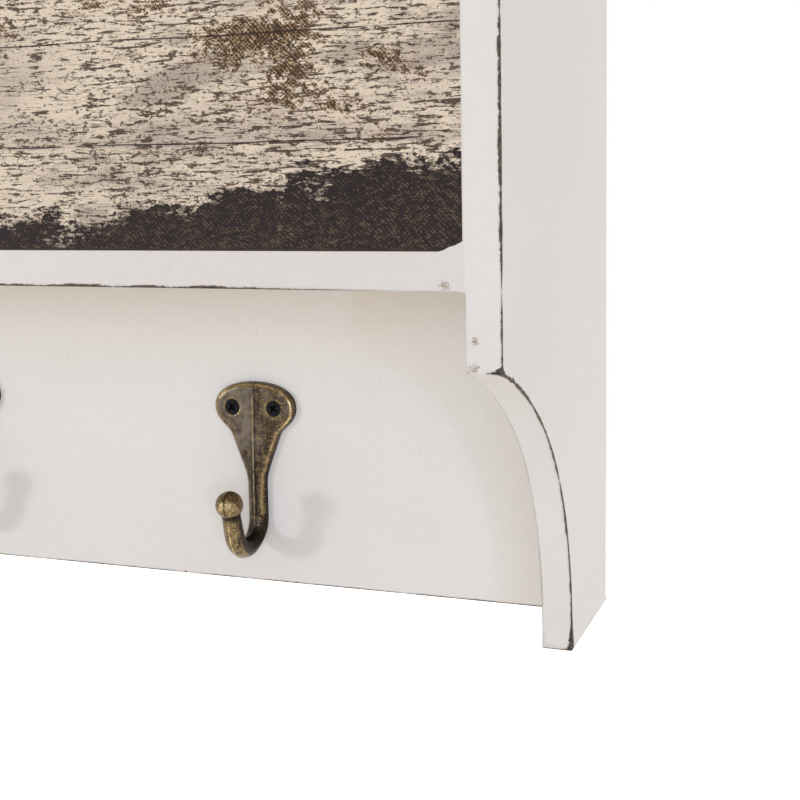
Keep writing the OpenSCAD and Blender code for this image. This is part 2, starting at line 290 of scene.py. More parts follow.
def worn_paint():
    """Brushed white paint. The attribute edge is the distance to the nearest arris, and the
    attribute bare is how far the paint is rubbed off from it, both in millimetres."""
    f = Finish("worn_white_paint")
    edge = f.attribute("edge")
    bare = f.attribute("bare")
    fray = f.noise(0.9, 3.0, 0.7)
    limit = bare * (-2.2 + 3.4 * f.noise(13.0) + 1.6 * f.noise(2.6) + 1.4 * fray)
    has_wear = f.ramp(bare, 0.02, 0.07)
    rubbed = f.ramp(edge, limit + 0.06, limit - 0.05) * has_wear
    core = f.ramp(edge, limit, 0.45 * limit)
    halo = f.ramp(edge, limit + 0.6, limit) * has_wear * 0.20

    frayed = 1.3 * (fray - 0.5)
    knocks = 0.0
    for centre, reach in KNOCKS:
        away = frayed
        for axis, at, size in zip((f.x, f.y, f.z), centre, reach):
            away += abs(axis - at) * (1 / size)
        knocks = f.most(knocks, f.ramp(away, 0.95, 0.80))
    scuffs = 0.0
    upright = f.noise((0.28, 1.5, 1.3), 3.0, 0.7, (0, 2, 0), 0.4) - 0.03
    scratches = f.most(f.noise((1.5, 1.5, 0.22), 3.0, 0.75, (3, 0, 0), 0.5), upright)
    for centre, reach in SCUFFS:
        near = f.ramp(f.near(centre) / reach + frayed, 1.0, 0.30)
        scuffs = f.most(scuffs, f.ramp(near + 4.0 * (scratches - 0.5), 1.05, 1.22))

    # Specks, most of them on the back board under the rail
    to_side = abs(f.x)
    behind = f.ramp(f.y, -60, -12) * f.ramp(f.y, -4, -8)
    spot, chance = f.specks(2.8)
    share = 0.10 + 0.24 * behind * f.ramp(f.z, -110, -50)
    dots = f.ramp(spot, 0.10, 0.05) * f.ramp(chance, share, share - 0.02) * (0.22 + 1.3 * chance)

    # Painted warm shade under the rail, darker towards the foot on the outer faces, and painted light on
    # the front edges of the sides
    clouds = f.noise((90, 90, 60), 3.0)
    strokes = f.noise((60, 60, 1.6), 3.0, 0.6, (0, 0, 5))
    mottle = f.noise(3.4, 3.0, 0.6, (0, 7, 0))
    weave = f.noise((1.1, 1.1, 0.8), 2.0, 0.6)
    paint = f.blend(f.ramp(clouds, 0.35, 0.7), PAINT, PAINT_WARM)
    # Painted shade: the back board under the rail is tinted warmer and darker, where the rail shades it
    shade_under_rail = behind * f.ramp(to_side, 218, 150) * f.ramp(f.z, -105, -50)
    paint = f.blend(shade_under_rail, paint, PAINT_SHADE_UNDER_RAIL)
    at_foot = f.ramp(to_side, OUTER_X - 0.6, OUTER_X - 0.1) * f.ramp(f.z, -95, FOOT_Z + 2)
    paint = f.darker(paint, 1.0 - 0.055 * at_foot)
    # Painted light: the front edges of the side boards are painted lighter, most of all above the rail
    lit_front_edge = f.ramp(f.y, FACE_Y + 1, FACE_Y + 0.4) * f.ramp(to_side, INNER_X - 0.2, INNER_X + 0.1)
    paint = f.blend(lit_front_edge * (0.45 + 0.55 * f.ramp(f.z, -60, -30)), paint, PAINT_LIT_EDGE)
    paint = f.darker(paint, 0.932 + 0.022 * strokes + 0.055 * mottle + 0.06 * weave)

    wood = f.blend(f.ramp(f.noise(1.6, 3.0, 0.7, (7, 0, 0)), 0.44, 0.62), BARE_DARK, BARE_BROWN)
    wood = f.blend(f.most(0.85 * core, 0.15), BARE_BROWN, wood)
    colour = f.blend(halo, paint, BARE_BROWN)
    scuffed = f.blend(f.ramp(scratches, 0.60, 0.70), SCUFF_WOOD, SCUFF_DARK)
    colour = f.blend(0.85 * scuffs, colour, scuffed)
    colour = f.blend(f.most(rubbed, dots), colour, wood)
    knocked = f.blend(f.ramp(f.noise(1.3, 3.0, 0.7, (2, 2, 0)), 0.50, 0.68), BARE_DARK, BARE_BROWN)
    colour = f.blend(knocks, colour, knocked)
    dark = f.most(rubbed, knocks)
    height = 0.020 * weave + 0.012 * strokes - 0.05 * f.most(dark, scuffs)
    return f.finish(colour, 0.46 + 0.08 * weave + 0.25 * dark, height)


# The printed sheet: weathered planks with flaking pale paint over brown, woven patches
PLANK_H = 26.0
WEAVE_PITCH = 1.15
SOOT_REACH_X = 228.0
SOOT_RISE = 21.0
CREAM = (0.90, 0.78, 0.62)
STONE = (0.69, 0.585, 0.485)
MAUVE = (0.36, 0.295, 0.255)
STREAK = (0.135, 0.095, 0.066)
GOLD = (0.46, 0.295, 0.150)
UMBER = (0.054, 0.033, 0.021)
SOOT = (0.030, 0.021, 0.021)
SOOTY_THREAD = (0.165, 0.118, 0.076)


def printed_planks():
    f = Finish("printed_planks")
    rows = (f.z - SHEET_FOOT) / PLANK_H
    number = f.math("FLOOR", rows)
    tone = f.math("FRACT", 0.618 * (number + 1.7))
    waver = 0.9 * (f.noise((30, 30, 400), 3.0) - 0.5)
    line = abs(PLANK_H * f.math("FRACT", rows) + waver - 0.6)
    joint = f.ramp(line, 0.26, 0.12) * f.ramp(number, 0.4, 0.6) * f.ramp(f.noise(12), 0.36, 0.44)

    region = f.noise((150, 150, 60), 2.0, 0.5, (7, 0, 3))
    flow = f.noise((48, 48, 12), 4.0, 0.6, (0, 0, 3), 0.4)
    fibres = f.noise((7, 7, 0.42), 4.0, 0.68, (5, 0, 0))
    dapple = f.noise((0.95, 0.95, 0.6), 3.0, 0.7, (1, 0, 9))
    patches = f.noise((44, 44, 17), 5.0, 0.62, (2, 0, 4), 0.5)
    crumbs = f.noise((2.6, 2.6, 1.5), 4.0, 0.68, (6, 0, 2))
    checks = f.noise((7.5, 7.5, 0.95), 4.0, 0.68, (8, 0, 1), 0.3)
    clouds = f.noise((26, 26, 9), 4.0, 0.6, (4, 0, 7))
    warp = 5.0 * f.noise(9.0) + 1.1 * f.noise(2.2, 2.0, 0.5, (0, 3, 0))
    weave = 0.44
    for slope, pull, share in ((0.9, 1.0, 0.21), (-1.1, -0.8, 0.13)):
        across = f.x + slope * f.z + pull * warp
        weave = weave + share * f.math("SINE", across * (2 * math.pi / WEAVE_PITCH))
    weave = weave + 2.4 * (dapple - 0.5) + 0.9 * (crumbs - 0.5)

    # Paler higher up, with fewer streaks and dashes
    pale = f.ramp(f.z, -9, 13)
    colour = f.blend(f.ramp(flow + 0.2 * tone - 0.10 * pale, 0.46, 0.72), CREAM, STONE)
    colour = f.blend(0.6 * f.ramp(clouds, 0.52, 0.66), colour, MAUVE)
    colour = f.blend(0.62 * f.ramp(fibres - 0.02 * pale, 0.54, 0.66), colour, STREAK)
    speckled = 0.30 + 0.6 * f.ramp(clouds, 0.46, 0.60)
    colour = f.blend(speckled * f.ramp(dapple, 0.56, 0.66), colour, STREAK)
    dashes = f.ramp(checks + 0.22 * dapple + 0.14 * region - 0.020 * pale, 0.715, 0.740)
    colour = f.blend(0.92 * dashes, colour, f.blend(f.ramp(crumbs, 0.50, 0.66), UMBER, STREAK))

    woven = f.blend(f.ramp(weave, 0.36, 0.74), UMBER, GOLD)
    woven = f.blend(f.ramp(weave, 0.80, 0.95), woven, STONE)
    reach = 0.56 * patches + 0.34 * crumbs + 0.22 * dapple + 0.45 * (region - 0.5)
    colour = f.blend(f.ramp(reach, 0.648, 0.668), colour, woven)
    small = f.ramp(crumbs + 0.25 * patches + 0.12 * dapple, 0.765, 0.79)
    colour = f.blend(0.9 * small, colour, f.blend(f.ramp(dapple, 0.4, 0.6), UMBER, STREAK))

    # Soot along the foot of the sheet, rising towards both ends
    to_side = (abs(f.x) / SOOT_REACH_X) ** 2.0
    soot_top = SHEET_FOOT + 0.8 + SOOT_RISE * to_side + 26.0 * (patches - 0.50)
    above = f.z - soot_top + 22.0 * (crumbs - 0.5) + 34.0 * (clouds - 0.5) + 10.0 * (dapple - 0.5)
    flecks = weave + 1.2 * (crumbs - 0.5) + 0.6 * (clouds - 0.5)
    sooted = f.blend(0.62 * f.ramp(flecks, 0.46, 0.90), SOOT, SOOTY_THREAD)
    scratches = f.ramp(f.noise((5, 5, 0.35), 3.0, 0.7, (3, 0, 8), 0.8), 0.64, 0.70)
    sooted = f.blend(0.5 * scratches, sooted, MAUVE)
    colour = f.blend(f.ramp(above, 2.0, -1.0), colour, sooted)
    colour = f.blend(0.9 * joint, colour, SOOT)
    rim = f.z - SHEET_FOOT - 1.1 * f.noise((5, 5, 40), 3.0, 0.7)
    colour = f.blend(0.8 * f.ramp(rim, 0.10, -0.05), colour, UMBER)
    glint, chance = f.specks(2.6, (4, 4, 4))
    colour = f.blend(0.6 * f.ramp(glint, 0.06, 0.04) * f.ramp(chance, 0.10, 0.08), colour, CREAM)
    height = 0.02 * fibres + 0.015 * dapple
    return f.finish(colour, 0.50 + 0.12 * fibres, height, Specular_IOR_Level=0.12)


PATINA_DARK = (0.038, 0.027, 0.020)
PATINA_GREY = (0.150, 0.121, 0.096)
PATINA_GOLD = (0.225, 0.158, 0.072)
BRASS = (0.60, 0.455, 0.228)


def antique_brass():
    """Dark patina on cast brass. One attribute is where hands have rubbed it bright, together with painted
    highlights on the ball and the rim; the other is where it stays darkest, together with painted shade
    beside the parting lines."""
    f = Finish("antique_brass")
    shine = f.attribute("shine")
    grime = f.attribute("grime")
    broad = f.noise(4.6, 2.0, 0.6, (1, 6, 0))
    blotch = f.noise((1.5, 1.5, 2.2), 4.0, 0.68, (9, 4, 2))
    fine = f.noise(0.62, 3.0, 0.7, (3, 1, 2))
    grains = f.noise(0.30, 2.0, 0.7, (5, 1, 4))
    # Painted shade: the right half of each hook leans to the dark patina, leaving the grey one on the left
    # as a painted sheen. Lower down it leans dark too.
    turn = f.math("FRACT", f.x / HOOK_GAP + 0.5)
    right_half_shade = f.ramp(HOOK_GAP * (turn - 0.5), -2.5, 3.0)
    lean = broad + 0.35 * fine + 0.14 * right_half_shade + 0.22 * f.ramp(f.z, -98, -114)
    patina = f.blend(f.ramp(lean, 0.52, 0.98), PATINA_GREY, PATINA_DARK)
    patina = f.darker(patina, -0.15 + 1.1 * fine + 1.1 * grains)
    speckle = 0.36 * blotch + 0.30 * fine + 0.34 * grains
    gilt = f.ramp(speckle + 0.22 * shine - 0.10 * grime, 0.535, 0.585)
    patina = f.blend(0.85 * gilt, patina, PATINA_GOLD)
    patina = f.darker(patina, 1.0 - 0.78 * grime)
    bright = f.ramp(shine + 3.2 * (speckle - 0.5) - 0.5 * grime, 0.54, 0.96)
    colour = f.blend(bright, patina, BRASS)
    height = 0.030 * fine + 0.026 * blotch + 0.022 * grains
    return f.finish(colour, 0.25 + 0.16 * grains + 0.15 * grime, height, Metallic=0.95)


def black_steel():
    f = Finish("black_steel")
    fine = f.noise(0.5, 3.0, 0.6)
    colour = f.blend(fine, (0.002, 0.002, 0.002), (0.012, 0.011, 0.011))
    return f.finish(colour, 0.34 + 0.25 * fine, 0.012 * fine, Metallic=0.1, Specular_IOR_Level=0.12)


def zinc_plate():
    f = Finish("zinc_plate")
    clouds = f.noise(6.0, 4.0, 0.65)
    brushed = f.noise((0.25, 4, 9), 2.0, 0.6)
    colour = f.blend(f.ramp(clouds, 0.35, 0.7), (0.62, 0.63, 0.64), (0.44, 0.45, 0.47))
    return f.finish(colour, 0.34 + 0.22 * brushed, 0.010 * brushed, Metallic=1.0)


def raw_wood():
    f = Finish("raw_wood")
    grain = f.noise((45, 1.8, 1.8), 5.0, 0.6, (0, 0, 2), 0.6)
    pores = f.noise((8, 0.5, 0.5), 2.0, 0.5)
    colour = f.blend(f.ramp(grain, 0.35, 0.68), (0.60, 0.43, 0.24), (0.44, 0.28, 0.13))
    colour = f.darker(colour, 0.88 + 0.24 * pores)
    return f.finish(colour, 0.72, 0.04 * pores)


# Meshes
def make_object(name, points, faces, sharp_deg=40):
    mesh = bpy.data.meshes.new(name)
    mesh.from_pydata([tuple(MM * c for c in p) for p in points], [], faces)
    return finish_mesh(name, mesh, sharp_deg)


def finish_mesh(name, mesh, sharp_deg=40):
    mesh.name = name
    mesh.polygons.foreach_set("use_smooth", [True] * len(mesh.polygons))
    mesh.set_sharp_from_angle(angle=math.radians(sharp_deg))
    mesh.update()
    obj = bpy.data.objects.new(name, mesh)
    scene.collection.objects.link(obj)
    return obj


def plain_copy(obj, name, sharp_deg=40):
    """A plain mesh of the object with its modifiers in it. The object itself is taken away."""
    depsgraph = bpy.context.evaluated_depsgraph_get()
    mesh = bpy.data.meshes.new_from_object(obj.evaluated_get(depsgraph), depsgraph=depsgraph)
    bpy.data.objects.remove(obj)
    return finish_mesh(name, mesh, sharp_deg)


def cut(obj, cutters, sharp_deg=40):
    """The object less the cutters, as a plain mesh."""
    for cutter in cutters:
        modifier = obj.modifiers.new("cut", "BOOLEAN")
        modifier.operation = "DIFFERENCE"
        modifier.solver = "EXACT"
        modifier.object = cutter
    name = obj.name
    obj.name = name + "_blank"
    result = plain_copy(obj, name, sharp_deg)
    for cutter in cutters:
        bpy.data.objects.remove(cutter)
    return result


def set_attribute(mesh, name, values):
    attribute = mesh.attributes.get(name) or mesh.attributes.new(name, "FLOAT", "POINT")
    attribute.data.foreach_set("value", np.asarray(values, np.float32))


def fix_normals(mesh):
    mesh_data = bmesh.new()
    mesh_data.from_mesh(mesh)
    bmesh.ops.remove_doubles(mesh_data, verts=mesh_data.verts, dist=MERGE_DISTANCE)
    bmesh.ops.recalc_face_normals(mesh_data, faces=mesh_data.faces)
    mesh_data.to_mesh(mesh)
    mesh_data.free()


def lofted(name, rings):
    """A closed solid through rings of as many points each, with both ends filled."""
    count = len(rings[0])
    points = [point for ring in rings for point in ring]
    last = len(points) - count
    faces = [list(range(count))[::-1], [last + k for k in range(count)]]
    for start in range(0, last, count):
        for i in range(count):
            a, b = start + i, start + (i + 1) % count
            faces.append((a, b, b + count, a + count))
    made = make_object(name, points, faces)
    fix_normals(made.data)
    return made


def moved(obj, x, y, z):
    """The object, with its mesh moved by millimetres."""
    obj.data.transform(Matrix.Translation(Vector((x, y, z)) * MM))
    return obj


def dress(obj, material, finish, *nodes):
    obj.data.materials.clear()
    obj.data.materials.append(material)
    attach(obj, "root")
    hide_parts(*nodes)


# Boards: an outline, given its thickness, with eased arrises all round
EASE_R = 0.45
EASE_STEPS = 4
FLAT_IN = 4.5
OUTLINE_STEP = 9.0
CORNER_STEPS = (0.7, 1.7, 4.8)
LOOP_IN = 1.5
SUPPORT = 1.3
SMOOTH_TURN_DEG = 25
LONG_SIDE = 12.0


def dense(outline):
    """The closed outline with more points: along its straights, and close to its corners."""
    points = []
    count = len(outline)
    sharp = []
    for i in range(count):
        before, here, after = (Vector(outline[(i + k) % count]) for k in (-1, 0, 1))
        sharp.append(math.degrees((here - before).angle(after - here)) > SMOOTH_TURN_DEG)
    for i in range(count):
        here, after = Vector(outline[i]), Vector(outline[(i + 1) % count])
        length = (after - here).length
        steps = max(1, math.ceil(length / OUTLINE_STEP))
        shares = [k / steps for k in range(steps)]
        for step in CORNER_STEPS:
            if length > LONG_SIDE:
                shares += [step / length] if sharp[i] else []
                shares += [1 - step / length] if sharp[(i + 1) % count] else []
        shares.sort()
        points += [here.lerp(after, share) for share in shares]
    return points


def inset_way(before, here, after):
    """The way from an outline's point that keeps the same distance from both its sides."""
    sides = [(here - before).normalized(), (after - here).normalized()]
    inward = [Vector((-s.y, s.x)) for s in sides]
    turn = math.degrees(sides[0].angle(sides[1]))
    return (inward[0] + inward[1]) / (1 + inward[0].dot(inward[1])), sides, turn


def board_rings(outline, low, high, radius):
    """Rings of (place in the outline's plane, place through the board, distance to an arris)."""
    area = sum(a[0] * b[1] - b[0] * a[1] for a, b in zip(outline, outline[1:] + outline[:1]))
    outline = outline if area > 0 else outline[::-1]
    points = dense(outline)
    around = []
    corners = []
    for i, here in enumerate(points):
        way, sides, turn = inset_way(points[i - 1], here, points[(i + 1) % len(points)])
        shares = [None] if turn < SMOOTH_TURN_DEG else [k / EASE_STEPS for k in range(EASE_STEPS + 1)]
        around += [(here, way, sides, share) for share in shares]
        if len(shares) > 1:
            corners.append((here, way))

    def ring(face, toward, down, inward, near):
        made = []
        for here, way, sides, share in around:
            r = radius(here, face)
            scale = 1.0 if max(inward, down) >= LOOP_IN else r / EASE_R
            inset = inward * scale
            place = here + way * inset
            to_arris = near
            corner, corner_way = min(corners, key=lambda c: (c[0] - here).length)
            if share is None and (corner - here).length < inset:
                place = corner + corner_way * inset
            if share is not None and inset < r:
                centre = here + way * r
                chord = (here - sides[0] * r).lerp(here + sides[1] * r, share)
                place = centre.lerp(centre + (chord - centre).normalized() * r, 1 - inset / r)
                to_arris = min(near, r * abs(share - 0.5))
            if inward < FLAT_IN and share is None:
                to_arris = min(near, max(0.0, (corner - here).length - 0.2))
            made.append((place, face + toward * down * scale, min(to_arris, FLAT_IN)))
        return made

    support, near = SUPPORT * EASE_R, (SUPPORT - 0.4) * EASE_R
    levels = [(0.0, FLAT_IN, FLAT_IN), (0.0, LOOP_IN, LOOP_IN), (0.0, support, near)]
    for k in range(EASE_STEPS + 1):
        turn = math.pi / 2 * k / EASE_STEPS
        down, inward = EASE_R * (1 - math.cos(turn)), EASE_R * (1 - math.sin(turn))
        levels.append((down, inward, EASE_R * abs(turn - math.pi / 4)))
    levels += [(support, 0.0, near), (LOOP_IN, 0.0, LOOP_IN)]
    rings = [ring(low, 1, *level) for level in levels]
    middle = ring(low, 1, 0.0, 0.0, (high - low) / 2)
    rings.append([(place, (low + high) / 2, near) for place, _, near in middle])
    return rings + [ring(high, -1, *level) for level in levels[::-1]]


def plain_edges(x, y, z):
    return EASE_R


# A point in an outline's plane and a place through the board, as X, Y and Z
SPREAD = {
    "x": lambda p, w: (w, p.x, p.y),
    "y": lambda p, w: (p.x, w, p.y),
    "z": lambda p, w: (p.x, p.y, w),
}


def board(name, outline, across, low, high, bare, radius=plain_edges):
    """A painted board: across is the axis through its thickness, bare is the wear's rule and
    radius is the arris's rule."""
    spread = SPREAD[across]
    mesh_data = bmesh.new()
    edge_layer = mesh_data.verts.layers.float.new("edge")
    bare_layer = mesh_data.verts.layers.float.new("bare")
    rings = []
    for ring in board_rings(outline, low, high, lambda p, w: radius(*spread(p, w))):
        row = []
        for place, through, near in ring:
            at = Vector(spread(place, through))
            vert = mesh_data.verts.new(at * MM)
            vert[edge_layer] = near
            vert[bare_layer] = bare(*at)
            row.append(vert)
        rings.append(row)
    for lower, upper in zip(rings, rings[1:]):
        for i in range(len(lower)):
            j = (i + 1) % len(lower)
            mesh_data.faces.new((lower[i], lower[j], upper[j], upper[i]))
    bmesh.ops.remove_doubles(mesh_data, verts=mesh_data.verts, dist=MERGE_DISTANCE)
    rims = [e for e in mesh_data.edges if e.is_boundary]
    bmesh.ops.edgeloop_fill(mesh_data, edges=rims)
    bmesh.ops.recalc_face_normals(mesh_data, faces=mesh_data.faces)
    mesh = bpy.data.meshes.new(name)
    mesh_data.to_mesh(mesh)
    mesh_data.free()
    return finish_mesh(name, mesh)


def rectangle(low_u, low_v, high_u, high_v):
    return [(low_u, low_v), (high_u, low_v), (high_u, high_v), (low_u, high_v)]


# Side boards, with the cove of the frame: two arcs that meet at a common tangent
FOOT_H = 7.0
COVE_R = 82.0
COVE_TOP_R = 122.0
COVE_TURN = math.radians(53)
COVE_STEPS = 26


def side_outline(foot_z, top_z, depth):
    low = Vector((-FOOT_DEPTH - COVE_R, foot_z + FOOT_H))
    spread = COVE_TOP_R - COVE_R
    high = low + spread * Vector((-math.cos(COVE_TURN), -math.sin(COVE_TURN)))
    last = math.acos((-depth - high.x) / COVE_TOP_R)
    points = [(0, foot_z), (-FOOT_DEPTH, foot_z)]
    for k in range(COVE_STEPS + 1):
        turn = last * k / COVE_STEPS
        centre, radius = (low, COVE_R) if turn < COVE_TURN else (high, COVE_TOP_R)
        points.append((centre.x + radius * math.cos(turn), centre.y + radius * math.sin(turn)))
    joint = [(-depth, RAIL_Z - 1.5), (-depth, RAIL_Z)]
    return points + joint + [(-depth, top_z), (0, top_z)]


def side_wear(x, y, z):
    """Paint rubbed off a side board: most on the outer arris, down the front and the cove."""
    outer = abs(x) > (INNER_X + OUTER_X) / 2
    if z < FOOT_Z + 2:
        return 0.26 if outer else 0.16
    if y > -2:
        return 0.18 if outer else 0.0
    if z > TOP_Z - 2:
        return 0.30
    if y < FACE_Y + 2:
        if not outer:
            return 0.0
        near_rail = bell(z - RAIL_Z - 0.5, 3)
        return 0.36 - 0.32 * near_rail + 0.12 * ease((z + 36) / 4)
    if not outer:
        return 0.08
    return 0.27 + 0.15 * ease((z + 75) / 14)


def rail_wear(x, y, z):
    if y > FACE_Y + 2 or z > RAIL_Z + 4.5 or abs(x) > INNER_X - 1:
        return 0.0
    return 0.42 * (1 - ease((abs(x) - 160) / 50)) + 0.045


def back_wear(x, y, z):
    return 0.15 if z < FOOT_Z + 2 and abs(x) < INNER_X - 1 else 0.0


def top_wear(x, y, z):
    if abs(x) > INNER_X - 1 or z < TOP_Z - 4:
        return 0.0
    return 0.36 if y < FACE_Y + 2 else 0.16


def panel_wear(x, y, z):
    return 0.0


# Arrises: the paint fills the joints between boards and round the sheet, so there the edges
# stay sharp and the panel is filled up nearly flush with the rail
JOINT_R = 0.02
PAINT_GAP = 0.04


def side_edges(x, y, z):
    at_joint = abs(x) < INNER_X + 1 and y < FACE_Y + 1 and z > RAIL_Z - 1
    return JOINT_R if at_joint or (abs(x) < INNER_X + 1 and z > TOP_Z - 1) else EASE_R


def rail_edges(x, y, z):
    return EASE_R if z < RAIL_Z + 1 and abs(x) < INNER_X - 1 else JOINT_R


def top_edges(x, y, z):
    return EASE_R if z > TOP_Z - 1 and abs(x) < INNER_X - 1 else JOINT_R


def joint_edges(x, y, z):
    return JOINT_R


def make_boards(paint):
    for side in ("left", "right"):
        node = f"side_board_{side}"
        low, high = box_mm(node)
        outline = side_outline(low.z, high.z, -low.y)
        made = board(f"painted_side_{side}", outline, "x", low.x, high.x, side_wear, side_edges)
        dress(made, paint, "painted_board", node)
    for node, name, wear, edges in (
        ("bottom_board", "painted_rail", rail_wear, rail_edges),
        ("top_board", "painted_top", top_wear, top_edges),
    ):
        low, high = box_mm(node)
        outline = rectangle(low.x, low.y, high.x, high.y)
        dress(board(name, outline, "z", low.z, high.z, wear, edges), paint, "painted_board", node)
    low, high = box_mm("front_panel")
    outline = rectangle(low.x, low.z, high.x, high.z)
    panel = board("painted_panel", outline, "y", FACE_Y + PAINT_GAP, high.y, panel_wear, joint_edges)
    dress(panel, paint, "painted_board", "front_panel")
    dress(make_back_board(), paint, "painted_board", "back_board")


# Keyhole plates, and their recesses in the back board
PLATE_PLAY = 0.2
PLATE_CHAMFER = 0.2
KEY_D = 9.0
KEY_SLOT_W = 4.5
KEY_RISE = 9.0
POCKET_W = 10.0
POCKET_DEPTH = 7.0
ROUND_STEPS = 24
PAST = 0.5


def round_slot(name, x, low_z, high_z, levels):
    """A standing slot with round ends, from (y, width) levels."""
    rings = []
    for y, width in levels:
        ring = []
        for z, start in ((low_z, math.pi), (high_z, 0.0)):
            for k in range(ROUND_STEPS + 1):
                turn = start + math.pi * k / ROUND_STEPS
                ring.append((x + width / 2 * math.cos(turn), y, z + width / 2 * math.sin(turn)))
        rings.append(ring)
    return lofted(name, rings)


def slot_cutter(x, width, low_z, high_z, depth, chamfer=0.0):
    """A slot from past the wall plane into the board, with a chamfer at the wall plane."""
    wide = width + 2 * chamfer
    levels = [(PAST, wide), (0.0, wide), (-chamfer, width), (-depth, width)]
    return round_slot("cutter", x, low_z, high_z, levels)


def slot_of(node):
    """Middle, width, thickness and half the straight length of a plate, which is a slot."""
    low, high = box_mm(node)
    size = high - low
    return (low + high) / 2, size.x, size.y, (size.z - size.x) / 2


def make_back_board():
    low, high = box_mm("back_board")
    outline = rectangle(low.x, low.z, high.x, high.z)
    blank = board("painted_back", outline, "y", low.y, high.y, back_wear)
    cutters = []
    for side in ("left", "right"):
        middle, width, thick, reach = slot_of(f"hanging_plate_{side}")
        wide = width + 2 * PLATE_PLAY
        cutters.append(slot_cutter(middle.x, wide, middle.z - reach, middle.z + reach, thick))
        entry = middle.z - KEY_RISE / 2
        cutters.append(slot_cutter(middle.x, POCKET_W, entry, entry + KEY_RISE, POCKET_DEPTH))
    result = cut(blank, cutters)
    edges, bares = [], []
    for vert in result.data.vertices:
        at = vert.co / MM
        gaps = sorted(min(at[i] - low[i], high[i] - at[i]) for i in range(3))
        edges.append(min(FLAT_IN, max(0.0, gaps[0] + gaps[1] - 0.3)))
        bares.append(back_wear(*at))
    set_attribute(result.data, "edge", edges)
    set_attribute(result.data, "bare", bares)
    return result


def make_hanging_plate(side, material):
    """A keyhole plate with its two countersunk screw holes, let into the back board."""
    node = f"hanging_plate_{side}"
    (x, _, z), width, thick, reach = slot_of(node)
    levels = [(0.0, width - 2 * PLATE_CHAMFER), (-PLATE_CHAMFER, width), (-thick, width)]
    blank = round_slot(f"keyhole_plate_{side}", x, z - reach, z + reach, levels)
    entry = z - KEY_RISE / 2
    cutters = [slot_cutter(x, KEY_SLOT_W, entry, entry + KEY_RISE, thick + PAST, PLATE_CHAMFER)]
    cutters.append(slot_cutter(x, KEY_D, entry, entry, thick + PAST, PLATE_CHAMFER))
    low, high = box_mm(f"plate_screws_{side}")
    rim, bore, back = HEAD_R + SEAT_PLAY, SHANK_R + BORE_PLAY, -thick - PAST
    profile = [(0, PAST), (rim, PAST), (rim, -0.02), (bore, -HEAD_H), (bore, back), (0, back)]
    for screw_z in (low.z + HEAD_R, high.z - HEAD_R):
        cutters.append(moved(turned("cutter", profile), x, 0, screw_z))
    dress(cut(blank, cutters), material, "zinc", node)


# The sheet's torn corner: places from its right edge and its foot
TEAR = [(6.0, 0.0), (4.8, 0.3), (3.3, 1.1), (1.8, 1.5), (0.0, 2.4)]


def make_print_sheet(material):
    """The sheet as the frame has it, with its torn corner."""
    low, high = box_mm("print_sheet")
    tear = [(high.x - u, low.z + v) for u, v in TEAR]
    outline = [(low.x, low.z)] + tear + [(high.x, high.z), (low.x, high.z)]
    sheet = lofted("printed_sheet", [[(x, y, z) for x, z in outline] for y in (low.y, high.y)])
    dress(sheet, material, "printed_sheet", "print_sheet")


# Cast hooks: one loft from the crown of the plate to the pole of the ball, as in the frame.
# Places are [across, out from the board, height from the screw line].
PLATE_HALF_W = 15.0
PLATE_TOP = 8.7
LOBE_DROP = 9.6
SHOULDER_DROP = 7.7
SHOULDER_HALF_W = 9.6
EDGE_T = 0.85
RIM_T = 2.9
RIDGE_T = 3.4
RIM_W = 1.6
STEM_DROP = 24.0
STEM_HALF_W = 3.35
STEM_T = 4.1
ARM_T = 6.4
NECK_T = 5.8
NECK_HALF_W = 3.1
BEND_DROP = 38.0
BEND_R = 8.8
ARM_TURN = math.radians(180 - 15)
ARM_LEN = 11.4
BALL_R = 4.6
CROWN_POWER = 2.2
CROWN_START = 0.0004
CROWN_EASE = 2.1
JOIN_POWER = 8
ROUND_TURN = math.radians(80)
POLE_TURN = math.pi * 0.995
SEAM_H = 0.16
SEAM_W = 0.24

CROWN_RINGS = 22
LOBE_RINGS = 12
TAPER_RINGS = 26
STEM_RINGS = 10
BEND_RINGS = 34
ARM_RINGS = 8
BALL_RINGS = 26
BEVEL_STEPS = 7
FACE_STEPS = 11
HALF_COUNT = BEVEL_STEPS + 1 + FACE_STEPS


def ellipse_w(t, power):
    return max(0.0, 1 - t**power) ** (1 / power)


def half_w(drop):
    if drop < 0:
        return PLATE_HALF_W * ellipse_w(min(1.0, -drop / PLATE_TOP), CROWN_POWER)
    lobe = PLATE_HALF_W * ellipse_w(min(1.0, drop / LOBE_DROP), 2)
    share = max(0.0, drop - SHOULDER_DROP) / (STEM_DROP - SHOULDER_DROP)
    taper = max(0.0, mix(SHOULDER_HALF_W, STEM_HALF_W, share))
    stem = STEM_HALF_W * min(1.0, drop / SHOULDER_DROP)
    return sum(v**JOIN_POWER for v in (lobe, taper, stem)) ** (1 / JOIN_POWER)


def inset_of(x, drop):
    """Distance of a point of the plate from the plate's outline."""
    if drop >= 0:
        return half_w(drop) - x
    a, b = x / PLATE_HALF_W, -drop / PLATE_TOP
    r = max(0.01, (a**CROWN_POWER + b**CROWN_POWER) ** (1 / CROWN_POWER))
    k = CROWN_POWER - 1
    return (1 - r) / math.hypot((a / r) ** k / PLATE_HALF_W, (b / r) ** k / PLATE_TOP)


def seam(x, along=0.0):
    """Height of the mould's parting line over the surface. It is a little uneven along its way."""
    uneven = 1 + 0.35 * math.sin(2.9 * along) + 0.3 * math.sin(7.3 * along + 1)
    return SEAM_H * uneven * bell(x, SEAM_W)


def face_t(x, drop):
    t = max(0.0, min(1.0, inset_of(x, drop) / RIM_W))
    ridge = mix(RIDGE_T, STEM_T, ease(drop / STEM_DROP))
    w = max(RIM_W, half_w(max(0.0, drop)))
    bevel = (RIM_T - EDGE_T) * math.sqrt(1 - (1 - t) ** 2)
    return EDGE_T + bevel + (ridge - RIM_T) * t * (1 - x / w) + seam(x, drop) * t


